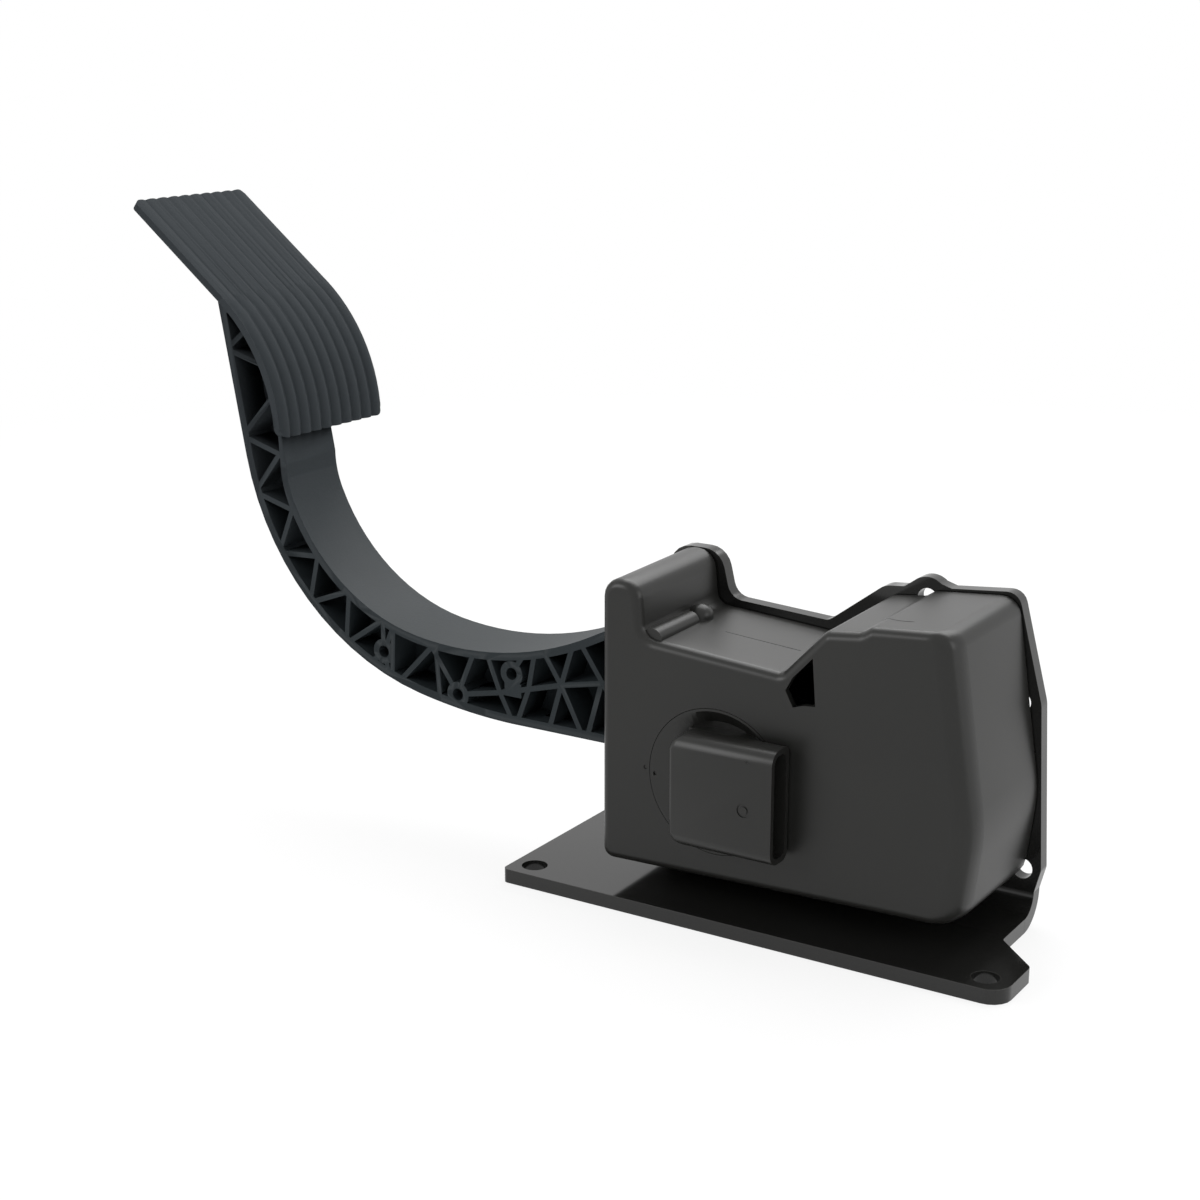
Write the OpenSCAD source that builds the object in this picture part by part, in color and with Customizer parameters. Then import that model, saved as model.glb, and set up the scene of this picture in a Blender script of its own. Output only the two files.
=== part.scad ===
// Electronic accelerator pedal for a truck: a ribbed arm with a foot pad turns on a pin in a
// folded steel bracket, under a moulded cover that holds the return springs and the sensor.
// Shapes are laid out from the front left corner of the base plate's top face, with X along the
// plate, Y to the back and Z up. place() then moves them so that the origin lies midway between
// the two front fixing holes, on the underside of the plate.

/* [Steel bracket] */
// Thickness of the folded sheet
sheet_t = 5; // [4:0.5:6]
// Length of the base plate along its front edge
base_l = 183; // [178:1:195]
// Length of the bend and the upright's foot, from the left edge
bend_end = 168; // [166:1:170]
// Depth of the base from its front edge to the front face of the upright
upright_y = 62; // [60:1:66]
// Inner radius of the bend
bend_r = 7; // [5:0.5:9]
// Left edge of the upright
upright_l = 29.5; // [27:0.5:30]
// Depth of the tab that runs on past the bend at the left
tab_y = 94; // [88:1:110]
// Diameter of the fixing holes in the base
base_hole_d = 9; // [8:0.5:11]
// Distance of the fixing holes from the front edge and the left edge
hole_inset = 8; // [7.5:0.5:10]
// Distance of the right fixing hole from the right edge
end_inset = 9; // [8.5:0.5:12]
// Height of the upright's top edge above the plate at the right
upright_h = 107; // [106.5:0.5:112]
// Diameter of the open holes along the upright's edge
edge_hole_d = 7; // [5:0.5:7.5]
// Radius of the ear round the top edge hole
ear_r = 7.3; // [6.5:0.1:8]

/* [Pivot] */
// Distance of the pivot from the left edge of the base
pivot_x = 77; // [76:0.5:78]
// Height of the pivot above the plate
pivot_z = 43; // [42.5:0.5:44]
// Diameter of the pivot pin
pin_d = 12; // [10:0.5:12.5]
// Wall of the plain bushes
bush_t = 2; // [1.5:0.25:2.5]
// Length of each bush in the hub
bush_l = 9; // [7:0.5:12]
// Outer diameter of the arm's hub
hub_d = 34; // [31:0.5:35]
// Travel of the pedal in degrees
travel = 18; // [14:1:18]

/* [Arm] */
// Front face of the arm, from the front edge of the base
arm_y = 22; // [21:0.5:23]
// Width of the arm
arm_w = 28; // [26:0.5:28]
// Thickness of the arm's upper flange
flange_t = 2.8; // [2.2:0.1:3.4]
// Thickness of the arm's lower flange
spine_t = 3; // [2.4:0.1:3.6]
// Thickness of the web between the flanges
web_t = 3; // [2:0.25:5]
// Thickness of the truss ribs
rib_t = 1.9; // [1.4:0.1:2.4]
// Diameter of the three moulded holes in the truss
eye_d = 4.4; // [3:0.2:5]
// Height of the arm's underside above the plate, where it enters the cover
arm_z = 44; // [43:0.5:45]

/* [Pad] */
// Width of the foot pad
pad_w = 59; // [54:1:66]
// Length of the flat upper part of the pad
pad_flat = 52; // [44:1:56]
// Radius of the curved lower part, at the rib tops
pad_r = 66.4; // [65.8:0.2:67.2]
// Thickness of the pad with its ribs
pad_t = 3.7; // [3.3:0.1:4.2]
// Height of the ribs on the pad
pad_rib_h = 1.1; // [0.8:0.1:1.4]
// Number of ribs across the pad
pad_ribs = 10; // [8:1:12]

/* [Cover] */
// Front face of the cover, from the front edge of the base
cover_y = 11; // [10:0.5:12]
// Wall of the moulded cover
wall = 2.5; // [2:0.1:2.8]
// Gap between the cover's back edge and the upright
cover_gap = 0.8; // [0.4:0.1:1.2]
// Left end of the cover
cover_l = 33; // [32:0.5:34]
// Right end of the cover at its widest
cover_r = 167.3; // [166:0.5:169]
// Height of the cover's underside above the plate at the left
cover_z = 7.4; // [6.5:0.1:8]
// Height of the hump over the arm
hump_z = 105.6; // [105:0.1:107]
// Height of the saddle beside the hump
saddle_z = 87.2; // [86:0.2:88]
// Height of the spring housing at its right end
block_z = 105.4; // [105:0.1:106.3]
// Radius of the edge round the cover's front face
front_r = 3.2; // [2:0.1:3.3]

/* [Springs] */
// Distance of the springs from the left edge of the base
spring_x = 137; // [136:0.5:138]
// Outer diameter of the outer spring
outer_d = 24; // [22:0.5:25]
// Wire diameter of the outer spring
outer_wire = 2.6; // [2:0.1:2.8]
// Outer diameter of the inner spring
inner_d = 16; // [15:0.25:16.5]
// Wire diameter of the inner spring
inner_wire = 1.8; // [1.4:0.1:1.9]
// Height of the lever's seat above the pivot
seat_h = 4.5; // [3:0.5:6]
// Thickness of the friction shoe under the hub
shoe_t = 4; // [3:0.25:4.5]

/* [Sensor] */
// Diameter of the round sensor body
sensor_d = 49.6; // [48:0.2:50]
// Depth of the dished recess in the sensor's face
dish = 4; // [3:0.25:4.5]
// Length of the connector shroud
plug_l = 37.5; // [35:0.5:40]
// Height of the connector shroud
plug_h = 38.4; // [36:0.2:40]
// Thickness of the connector shroud
plug_t = 11.6; // [10.5:0.1:11.8]
// Wall of the connector shroud
plug_wall = 1.9; // [1.6:0.1:2.2]
// Number of terminals in the connector
pin_count = 6; // [4:1:6]

/* [Hidden] */
$fn = 48;

steel = "#2e2e2e";
black = "#3a3a3a";
grey = "#45484a";
zinc = "#b8bcc0";
amber = "#c9b68a";

// Clearances: between moving faces, round the pin, and of loose fits
gap = 0.3;
run = 0.05;
loose = 0.4;

// Distance between the two front fixing holes
hole_pitch = base_l - hole_inset - end_inset;
upright_back = upright_y + sheet_t;
arm_back = arm_y + arm_w;
arm_mid = arm_y + arm_w / 2;
cover_back = upright_y - cover_gap;
pivot = [pivot_x, pivot_z];
sensor_r = sensor_d / 2;

// Moves the layout so that the origin lies between the front fixing holes
module place() translate([-hole_inset - hole_pitch / 2, -hole_inset, sheet_t]) children();

// A flat outline drawn in X and Z, thick from y0 to y1
module slab(y0, y1) translate([0, y1, 0]) rotate([90, 0, 0]) linear_extrude(y1 - y0) children();

// A disc across Y at a place in X and Z
module disc(at, r, y0, y1)
    translate([at[0], y1, at[1]]) rotate([90, 0, 0]) cylinder(r = r, h = y1 - y0);

module at_pivot() translate([pivot_x, 0, pivot_z]) children();

module tube_disc(at, r, bore, y0, y1) difference() {
    disc(at, r, y0, y1);
    disc(at, bore, y0 - 1, y1 + 1);
}

// A rectangle with round corners, made of squares and circles
module round_rect(size, r) {
    translate([r, 0]) square([size[0] - 2 * r, size[1]]);
    translate([0, r]) square([size[0], size[1] - 2 * r]);
    for (x = [r, size[0] - r], y = [r, size[1] - r]) translate([x, y]) circle(r);
}

// Outlines whose corners are [x, z, radius], moved inwards by d
function unit(v) = v / norm(v);
function left_of(v) = [-v[1], v[0]];
function flat2(v) = [v[0], v[1]];
function cross2(a, b) = a[0] * b[1] - a[1] * b[0];
function meet(p, u, q, v) = p + u * cross2(q - p, v) / cross2(u, v);
function corner_arc(a, b, c, d, n) =
    let (u = unit(flat2(b) - flat2(a)), v = unit(flat2(c) - flat2(b)),
         p = meet(flat2(b) + d * left_of(u), u, flat2(b) + d * left_of(v), v),
         turn = atan2(cross2(u, v), u * v),
         r = max(0.05, b[2] - d * sign(turn)),
         start = p - u * r * abs(tan(turn / 2)),
         centre = start + r * sign(turn) * left_of(u),
         h = atan2(u[1], u[0]))
    [for (i = [0:n]) let (g = h + turn * i / n) centre + r * sign(turn) * [sin(g), -cos(g)]];
function outline(c, d = 0, n = 5) = let (m = len(c))
    [for (i = [0:m - 1]) each corner_arc(c[(i + m - 1) % m], c[i], c[(i + 1) % m], d, n)];

// A path of lines and tangent arcs: a step is [0, length] or [radius, turn to the left]
function stride(p, h, s, n) = s[0] == 0 ? [p + s[1] * [cos(h), sin(h)]]
    : let (c = p + s[0] * [-sin(h), cos(h)])
      [for (i = [1:n]) let (g = h + s[1] * i / n) c + s[0] * [sin(g), -cos(g)]];
function turn_of(s) = s[0] == 0 ? 0 : s[1];
function walk(p, h, steps, n = 14, i = 0) = i == len(steps) ? [p]
    : let (q = stride(p, h, steps[i], n), more = walk(q[len(q) - 1], h + turn_of(steps[i]), steps, n, i + 1))
      concat([p], len(q) > 1 ? [for (k = [0:len(q) - 2]) q[k]] : [], more);
// The same path moved to its left by d
function shifted(p, h, steps, d) = walk(p + d * [-sin(h), cos(h)], h,
    [for (s = steps) s[0] == 0 ? s : [s[0] - d, s[1]]]);
// The point a given distance along the path, moved to its left by d
function span(s) = s[0] == 0 ? s[1] : s[0] * s[1] * PI / 180;
function along(p, h, steps, dist, i = 0) =
    let (s = steps[i], l = span(s))
    dist <= l || i == len(steps) - 1
        ? stride(p, h, s[0] == 0 ? [0, dist] : [s[0], s[1] * dist / l], 1)[0]
        : along(stride(p, h, s, 1)[0], h + turn_of(s), steps, dist - l, i + 1);
function last(v) = v[len(v) - 1];
function back(v) = [for (i = [len(v) - 1:-1:0]) v[i]];

// Curves of the arm: the spine below, the flange above and the pad at the end
spine_end = [-7, arm_z];
spine_steps = [[0, 57.2], [98.5, 67.8], [219, 11.5]];
spine_turn = 79.3;
spine_start = spine_end - last(walk([0, 0], -spine_turn, spine_steps));
flange_start = [-108.9, 126];
flange_steps = [[35, 23.7], [72.3, 56.8], [120, 36.4]];
horn_steps = [[0, 6], [30, 30]];
pad_centre = [flange_start[0] - pad_r + 0.4, 133.2];
pad_low = 1.6;
pad_high = 51.7;
pad_y = arm_y - 2;
pad_base = pad_r - pad_rib_h;
pad_lap = 4;

function pad_arc(r, n = 10) = [for (i = [0:n]) let (g = pad_low + (pad_high - pad_low) * i / n)
    pad_centre + r * [cos(g), sin(g)]];
function pad_line(r, l) =
    pad_centre + r * [cos(pad_high), sin(pad_high)] + l * [-sin(pad_high), cos(pad_high)];

// How far the cover's roof has come down where the ramp starts
roof_drop = 5.8;
ramp_top = [114.5, block_z - roof_drop];
ramp_foot = [99.5, saddle_z - 3.8];
// Cover outline, anticlockwise from the bottom left; the right end draws in by e
function cover_corners(e = 0) = [
    [cover_l, cover_z, 4], [cover_r - 3.8 - e, cover_z + 3.6, 9], [cover_r - e, 42, 60],
    [cover_r - 9.8 - e, block_z, 6], [129.5, block_z - 2.4, 3.5], [126.5, block_z - 4.4, 3.5],
    [ramp_top[0], ramp_top[1], 4], [ramp_foot[0], ramp_foot[1], 3], [48.8, saddle_z, 5],
    [47, hump_z, 6.5], [cover_l, hump_z, 6.5]];

front_in = cover_y + wall;
block_in = block_z - roof_drop - wall;
floor_z = cover_z + 5.2;
hub_r = hub_d / 2;
pin_r = pin_d / 2;
bush_r = pin_r + bush_t;
bush_flange = 1;
flange_r = bush_r + 1.3;
hub_inset = 10;
hub_front = arm_y + hub_inset;
hub_back = upright_y - gap - bush_flange;
washer_back = hub_front - bush_flange - gap;
washer_t = 1;
ring_t = 1;
ring_r = pin_r + 2.4;
ring_deep = 1;
ring_slot = 4;
ring_y = washer_back - washer_t - ring_t;
pin_front = ring_y - ring_t;
pin_head_r = pin_r + 4;
pin_head_t = 3.5;

// Steel bracket: holes as [x, z], and corners as [x, z, radius] or [x, y, radius]
edge_holes = [[126.3, upright_h - 6.7], [159.9, 0.663 * upright_h], [163.5, 14.5]];
screw_places = [[39.5, 13.5], [150, 20], [150, block_z - 7.4], [62, saddle_z - 8.2]];
screw_r = 1.9;
tab_inset = 12;
bend_y = upright_y - bend_r;
relief = [3, 4];
base_corners = [
    [0, 0, 2], [base_l, 0, 7], [base_l, 22, 3], [bend_end, 36.6, 3], [bend_end, bend_y, 0.1],
    [upright_l, bend_y, 0.1], [upright_l, bend_y - relief[1], 1],
    [upright_l - relief[0], bend_y - relief[1], 1], [upright_l - relief[0], tab_y, 7], [0, tab_y, 7]];
upright_corners = [
    [upright_l, bend_r, 0.1], [bend_end, bend_r, 0.1], [bend_end + 2, 14.9, 4], [bend_end - 1, 71, 12],
    [bend_end - 10.5, upright_h, 5], [111, upright_h - 4.4, 7], [91, saddle_z + 0.4, 4],
    [53.5, saddle_z + 2.6, 6], [49.5, hump_z + 0.6, 8], [upright_l, hump_z + 0.6, 8]];
// The ear's foot: how far it reaches out past the ear, and down from and up to the top edge
ear_foot = [1, 6.5, 1.1];

module base_outline() difference() {
    polygon(outline(base_corners));
    for (x = [hole_inset, hole_inset + hole_pitch]) translate([x, hole_inset]) circle(d = base_hole_d);
    translate([tab_inset, tab_y - tab_inset]) circle(d = base_hole_d);
}

module upright_outline() difference() {
    union() {
        polygon(outline(upright_corners));
        translate(edge_holes[0]) circle(ear_r);
        translate([edge_holes[0][0] - ear_r - ear_foot[0], upright_h - ear_foot[1]])
            square([2 * (ear_r + ear_foot[0]), ear_foot[1] - ear_foot[2]]);
    }
    for (h = edge_holes) translate(h) circle(d = edge_hole_d);
    translate(pivot) circle(pin_r);
    for (h = screw_places) translate(h) circle(screw_r + loose);
}

module mounting_bracket() color(steel) {
    translate([0, 0, -sheet_t]) linear_extrude(sheet_t) base_outline();
    slab(upright_y, upright_back) upright_outline();
    translate([upright_l, bend_y, bend_r]) rotate([0, 90, 0])
        linear_extrude(bend_end - upright_l) intersection() {
            difference() {
                circle(bend_r + sheet_t);
                circle(bend_r);
            }
            square(bend_r + sheet_t);
        }
}

// Moulded cover
// How far the right end draws in from the back edge to the round front edge, and round that edge
end_draft = 1.4;
end_round = 3;
// Places of the rings of the outer skin from the back edge to the front face: [y, inset, end in]
skin_rings = [
    [cover_back, -0.5, 0], [cover_y + front_r + 5, 0, 0],
    for (t = [0:22.5:90]) [cover_y + front_r * (1 - sin(t)), front_r * (1 - cos(t)),
                           end_draft + end_round * t / 90]];

// The two end faces in pieces without inside corners, as numbers of points round the outline
function at_corner(k, n = 5) = [for (i = [0:n]) k * (n + 1) + i];
function fan(a, v) = [for (i = [0:len(v) - 2]) [a, v[i], v[i + 1]]];
left_foot = last(at_corner(0));
right_foot = at_corner(1)[0];
end_pieces = concat(
    fan(left_foot, at_corner(8)), fan(right_foot, at_corner(7)), fan(right_foot, at_corner(5)),
    [concat([last(at_corner(8))], at_corner(9), at_corner(10), at_corner(0)),
     [left_foot, right_foot, last(at_corner(7)), at_corner(8)[0]],
     concat([right_foot, last(at_corner(5))], at_corner(6), [at_corner(7)[0]]),
     concat(at_corner(1), at_corner(2), at_corner(3), at_corner(4), [at_corner(5)[0]])]);

module skin() {
    rings = [for (r = skin_rings) [for (q = outline(cover_corners(r[2]), r[1])) [q[0], r[0], q[1]]]];
    n = len(rings[0]);
    m = len(rings);
    polyhedron(points = [for (r = rings) each r], faces = [
        for (k = [0:m - 2], i = [0:n - 1])
            let (a = k * n, b = a + n, j = (i + 1) % n)
                each [[a + i, b + i, a + j], [a + j, b + i, b + j]],
        for (v = end_pieces) v,
        for (v = end_pieces) [for (i = back(v)) (m - 1) * n + i]]);
}

module shell() difference() {
    skin();
    slab(front_in, upright_y) polygon(outline(cover_corners(end_draft), wall));
}

lug_turns = [90, 210, 330];
lug_r = sensor_r + 6.2;
function lug_at(t) = pivot + lug_r * [cos(t), sin(t)];
lug_y = cover_y + 9;
lug_t = 2;
lug_half = 3.2;
lug_end_r = 3.8;
lug_post_r = 3.6;
lug_screw_r = 1.25;
lug_screw_in = 4.5;
// Room that the arm leaves round the sensor's lugs
sensor_clear = lug_r + 6;

// Stops, friction shoe and the ribs that hold them
post_x = pivot_x - 30;
post_r = 6.3;
post_z = floor_z + 7;
post_rim = 1;
shoe_y = hub_back - 14;
shoe_l = 18;
shoe_post_r = 7;
guide_t = 2;
guide_l = 20;
guide_h = 13;
sink = 1;
press_z = pivot_z + (post_x - post_r - pivot_x) * tan(travel) + (arm_z - pivot_z) / cos(travel);
sill_z = pivot_z + (cover_l - pivot_x) * tan(travel) + (arm_z - pivot_z) / cos(travel) - 3;
mouth_z = hump_z - 7.6;
mouth_inset = [7, 5];
sensor_fit = 0.2;
shoe_r = hub_r + gap + shoe_t;
shoe_half = 25;
stop_r = 4.2;
stop_at = [cover_l + 7, hump_z - wall - stop_r - 0.2];
stop_inset = 4;

// Spring housing: how far the springs' end plates stand out round them, and the pad in the roof
plate_rim = 0.8;
roof_pad_r = outer_d / 2 + plate_rim + loose;

// Round bar and round bump in the corner between the hump and the saddle
bar_r = 3.6;
bar_at = [cover_l + 18.2, saddle_z - 0.4];
bar_y = cover_y + 2.6;
bar_l = 25;
bump_r = 4.6;
bump_at = [cover_l + 19, cover_y + 33, saddle_z];

// Posts for the screws from behind, each joined to the nearest wall by a square web
screw_boss_r = 4.8;
screw_boss_l = 11;
screw_in = 9;
drill = 0.5;
web_half = 3;
webs = [[-4.4, 0], [0, -8.2], [5, 0], [0, 5.4]];

module screw_boss(at, web) {
    disc(at, screw_boss_r, cover_back - screw_boss_l, cover_back + cover_gap);
    translate([at[0] + min(web[0], 0) - (web[0] == 0 ? web_half : 0), cover_back - screw_boss_l,
               at[1] + min(web[1], 0) - (web[1] == 0 ? web_half : 0)])
        cube([max(abs(web[0]), web[0] == 0 ? 2 * web_half : 0), screw_boss_l - drill,
              max(abs(web[1]), web[1] == 0 ? 2 * web_half : 0)]);
}

// Notch in the front wall, under a lip along the ramp: its foot from the ramp's, and its two ends
notch_foot = [[2.1, -4.8], [4.9, -10], [8.5, -8.8], [12.7, -8.4]];
notch_start = 3;
notch_end = 13;
module notch() {
    up_ramp = unit(ramp_top - ramp_foot);
    lip = (front_r + 0.3) * left_of(up_ramp);
    polygon([for (q = concat(notch_foot, [notch_end * up_ramp - lip, notch_start * up_ramp - lip]))
        ramp_foot + q]);
}

module housing_cover() color(black) difference() {
    union() {
        shell();
        for (i = [0:len(webs) - 1]) screw_boss(screw_places[i], webs[i]);
        for (t = lug_turns) disc(lug_at(t), lug_post_r, front_in - sink / 5, lug_y);
        translate([post_x, arm_mid, cover_z + wall - sink])
            cylinder(r = post_r + post_rim, h = post_z - cover_z - wall + sink);
        translate([pivot_x, shoe_y, cover_z + wall])
            cylinder(r = shoe_post_r, h = floor_z - cover_z - wall);
        for (e = [-1, 1])
            translate([pivot_x + e * (shoe_r * sin(shoe_half) + gap + guide_t / 2) - guide_t / 2,
                       shoe_y - guide_l / 2, cover_z + wall]) cube([guide_t, guide_l, guide_h]);
        translate([spring_x, arm_mid, block_in]) cylinder(r = roof_pad_r, h = roof_drop + sink);
        disc(bar_at, bar_r, bar_y, bar_y + bar_l);
        translate(bump_at) sphere(bump_r);
    }
    // Open left end above its sill, for the arm
    translate([cover_l - 1, cover_y + mouth_inset[0], sill_z])
        cube([wall + 1.6, cover_back - cover_y - mouth_inset[0] - mouth_inset[1], mouth_z - sill_z]);
    disc(pivot, sensor_r + sensor_fit, cover_y - 1, front_in + 1);
    slab(cover_y - 1, front_in + 0.6) notch();
    for (t = lug_turns) disc(lug_at(t), lug_screw_r, lug_y - lug_screw_in - drill, lug_y + 1);
    for (at = screw_places) disc(at, screw_r, cover_back - screw_in - drill, cover_back + 1);
}

// Pedal arm with its foot pad
upper_start = pad_line(pad_r - pad_t, 0);
upper_lead = 8.5;
upper_steps = concat([[-(pad_r - pad_t), pad_low - pad_high], [0, upper_lead]],
                     [for (s = flange_steps) [s[0] + flange_t, s[1]]]);
function up(d) = along(upper_start, pad_high - 90, upper_steps, d);
function low(d) = along(spine_start, -spine_turn, spine_steps, d);
// Where each rib of the regular truss meets the upper and the lower flange, along their curves
truss = [[14, 18], [28, 18], [40, 50], [61, 50], [61, 71], [82, 71], [82, 95], [101.5, 95],
         [101.5, 117], [119, 117], [120, 138], [137, 138], [142, 161], [161, 164], [161, 183]];
eye_a = [-33.8, 50.8];
eye_b = [-10.6, 62.3];
eye_c = [-66.4, 61.4];
knot = [10, 61.6];
foot = [-15.6, 54.6];
foot_z = arm_z + 1;
cell_end = cover_l + 0.7;
cell_wall = 3;
eye_rim = 2.4;
joint = [-3.6, 57.5];
ties = [[29, 62], [26, 64], [52, 52]];
end_z = 66.6;
tie_z = 66;
// Where the finer braces meet the upper flange and the spine, along their curves, and the floor, in X
on_top = [137, 142, 158, 178, 183, 200, 204, 207, 221, 223];
on_spine = [150, 160, 190];
on_floor = [-10.4, -8.4, 5, 18.6, 20.6];
function top_at(i) = up(on_top[i]);
function spine_at(i) = low(on_spine[i]);
function floor_at(i) = [on_floor[i], foot_z];
braces = [[top_at(3), eye_a], [top_at(2), eye_a], [eye_a, foot], [foot, knot], [knot, [cell_end, end_z]],
          [top_at(4), foot], [foot, floor_at(0)], [top_at(6), joint], [joint, floor_at(1)],
          [top_at(7), knot], [knot, floor_at(3)], [top_at(8), knot], [knot, floor_at(2)],
          [top_at(9), ties[0]], [ties[1], floor_at(4)], [eye_c, spine_at(0)], [eye_c, spine_at(1)],
          [eye_c, top_at(0)], [eye_c, top_at(1)], [eye_a, spine_at(2)], [top_at(5), eye_b]];
// Small plate between two braces: how far its corner lies from the eye and the foot, and its size
plate_in = [3, 0.6];
plate_size = [7, 5];

module bar(a, b, w) {
    v = b - a;
    translate(a) rotate(atan2(v[1], v[0])) translate([0, -w / 2]) square([norm(v), w]);
}

// Corners of the arm's root from the spine round the hub to the horn under the idle stop
horn_z = stop_at[1] - stop_r - gap;
root = [[post_x + post_r, arm_z], [pivot_x - hub_r + 1, pivot_z - 6], pivot,
        [pivot_x - hub_r + 4, pivot_z + 12], [44, saddle_z - 3.2], [42.8, horn_z], [38, horn_z]];
// Lever under the springs: its ends, and its height at the pivot, at the middle and at its tip
lever_in = 22;
lever_mid = 16;
lever_end = 12;
lever_root_h = 15;
lever_mid_h = 5;
lever_tip_h = 1.5;
lever_floor_h = 2.4;
seat_pad_r = outer_d / 2 + plate_rim + loose;
lever_top_h = 1;
hub_wall = 3;
hub_room = 2;
// The pockets' lead-in under the pad, their run past the flange, and the corners beside the horn
pocket_lead = 5;
pocket_run = 11;
horn_in = [2.8, 1];
horn_foot = [53, 62];
horn_foot_end = 55;
sensor_room = 5;

module arm_outline() union() {
    polygon(concat(
        walk(spine_start, -spine_turn, spine_steps), root,
        back(walk(flange_start, -90, concat(flange_steps, horn_steps))),
        pad_arc(pad_base - 1), [pad_line(pad_base - 1, pad_lap)]));
    translate(pivot) circle(hub_r);
    polygon([[pivot_x, pivot_z + lever_root_h], [spring_x - lever_in, pivot_z + seat_h],
             [spring_x + lever_end, pivot_z + seat_h], [spring_x + lever_end, pivot_z - lever_tip_h],
             [spring_x - lever_mid, pivot_z - lever_mid_h], [pivot_x, pivot_z - lever_root_h]]);
}

module pockets() {
    inner = shifted(spine_start, -spine_turn, spine_steps, spine_t);
    pocket_l = cell_end + cell_wall;
    hub_edge = pivot_x + hub_r + hub_wall;
    polygon(concat(
        [low(pocket_lead) + spine_t * [sin(spine_turn), cos(spine_turn)]],
        [for (i = [1:len(spine_steps) * 14 - 13]) inner[i]],
        [[cell_end, arm_z + spine_t]],
        back(shifted(flange_start, -90, concat(flange_steps, [[0, pocket_run]]), -flange_t)),
        [for (i = [0:9]) pad_arc(pad_r - pad_t)[i]]));
    polygon([[pocket_l, arm_z + spine_t], [pocket_l, root[4][1] - horn_in[1]], root[4] - horn_in,
             horn_foot, [horn_foot_end, arm_z + spine_t]]);
    polygon([[hub_edge, pivot_z + hub_wall], [spring_x - lever_mid, pivot_z + lever_top_h],
             [spring_x - lever_mid, pivot_z - lever_floor_h], [hub_edge, pivot_z - 2 * hub_wall]]);
}

module ribs() {
    for (t = truss) bar(up(t[0]), low(t[1]), rib_t);
    for (b = braces) bar(b[0], b[1], rib_t);
    for (e = [eye_a, eye_b, eye_c]) translate(e) circle(eye_d / 2 + eye_rim);
    translate([eye_b[0], foot[1]] - plate_in) square(plate_size);
    bar([cell_end + cell_wall, tie_z], ties[2], rib_t);
}

// Section across the pad: a flat plate with round-topped ribs, drawn from its centre line
groove = 0.6;
module pad_section(r, w = pad_w) {
    pitch = pad_w / pad_ribs;
    rib_r = pow(pitch - groove, 2) / (8 * pad_rib_h) + pad_rib_h / 2;
    translate([r - pad_t, -w / 2]) square([pad_t - pad_rib_h, w]);
    intersection() {
        translate([r - pad_t + lap, -pad_w / 2]) square([pad_t, pad_w]);
        for (k = [0:pad_ribs - 1])
            translate([r - rib_r, -pad_w / 2 + (k + 0.5) * pitch]) circle(rib_r, $fn = 96);
    }
}

// The flat part stands a hair below the curved one, as a witness line shows where they meet
witness = 0.05;
lap = 0.5;
pad_low_r = 4;
pad_top_r = 2.5;

// The pad: a curved lower part and a flat upper part, each with two round corners
module pad() {
    middle = pad_y + pad_w / 2;
    translate([pad_centre[0], middle, pad_centre[1]]) rotate([90, 0, 0]) {
        rotate([0, 0, pad_low]) difference() {
            rotate_extrude(angle = pad_high - pad_low, $fn = 96) pad_section(pad_r);
            for (s = [0, 1]) mirror([0, 0, s]) translate([pad_r, 0, pad_w / 2]) corner_cut(pad_low_r);
        }
        rotate([0, 0, pad_high]) difference() {
            translate([-witness, -lap, 0]) rotate([-90, 0, 0]) linear_extrude(pad_flat + lap)
                pad_section(pad_r, pad_w - 2 * witness);
            for (s = [0, 1]) mirror([0, 0, s])
                translate([pad_r, pad_flat, pad_w / 2]) mirror([0, 1, 0]) corner_cut(pad_top_r);
        }
    }
}

// What a round corner takes off the pad, at a corner whose edges run along +Y and -Z
module corner_cut(r) difference() {
    translate([-2 * pad_t, -1, -r]) cube([4 * pad_t, r + 1, r + 1]);
    translate([-3 * pad_t, r, -r]) rotate([0, 90, 0]) cylinder(r = r, h = 6 * pad_t);
}

// Gussets that carry the part of the pad behind the arm
gusset_turns = [6, 22, 38];
gusset_end = 2;
gusset_root = 9;
gusset_inset = 6;
module pad_gussets() for (g = gusset_turns)
    translate([pad_centre[0], 0, pad_centre[1]]) rotate([0, -g, 0]) translate([0, 0, -rib_t / 2])
        linear_extrude(rib_t) translate([pad_r - pad_t, 0])
            polygon([[lap, arm_back - 1], [lap, pad_y + pad_w - gusset_inset],
                     [-gusset_end, pad_y + pad_w - gusset_inset], [-gusset_root, arm_back - 1]]);

module pedal_arm() color(grey) difference() {
    union() {
        slab(arm_y, arm_back) difference() {
            arm_outline();
            difference() {
                pockets();
                ribs();
            }
        }
        slab(arm_mid - web_t / 2, arm_mid + web_t / 2) arm_outline();
        disc(pivot, hub_r, hub_front, hub_back);
        translate([spring_x, arm_mid, pivot_z - lever_tip_h])
            cylinder(r = seat_pad_r, h = seat_h + lever_tip_h);
        pad();
        pad_gussets();
    }
    disc(pivot, bush_r, arm_y - 1, hub_back + 1);
    disc(pivot, sensor_clear, arm_y - 1, arm_y + sensor_room);
    disc(pivot, hub_r + hub_room, arm_y - 1, hub_front);
    for (t = [0, 180]) at_pivot() rotate([0, t, 0]) slab(hub_front - 1, hub_front + tang_in) tang();
    for (e = [eye_a, eye_b, eye_c]) disc(e, eye_d / 2, arm_y - 1, arm_mid - web_t / 2 - 0.5);
}

// Pivot
module pivot_pin() color(zinc) difference() {
    union() {
        disc(pivot, pin_r, pin_front, upright_back);
        disc(pivot, pin_head_r, upright_back, upright_back + pin_head_t);
    }
    tube_disc(pivot, pin_r + 1, pin_r - ring_deep, ring_y, ring_y + ring_t);
}

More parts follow.
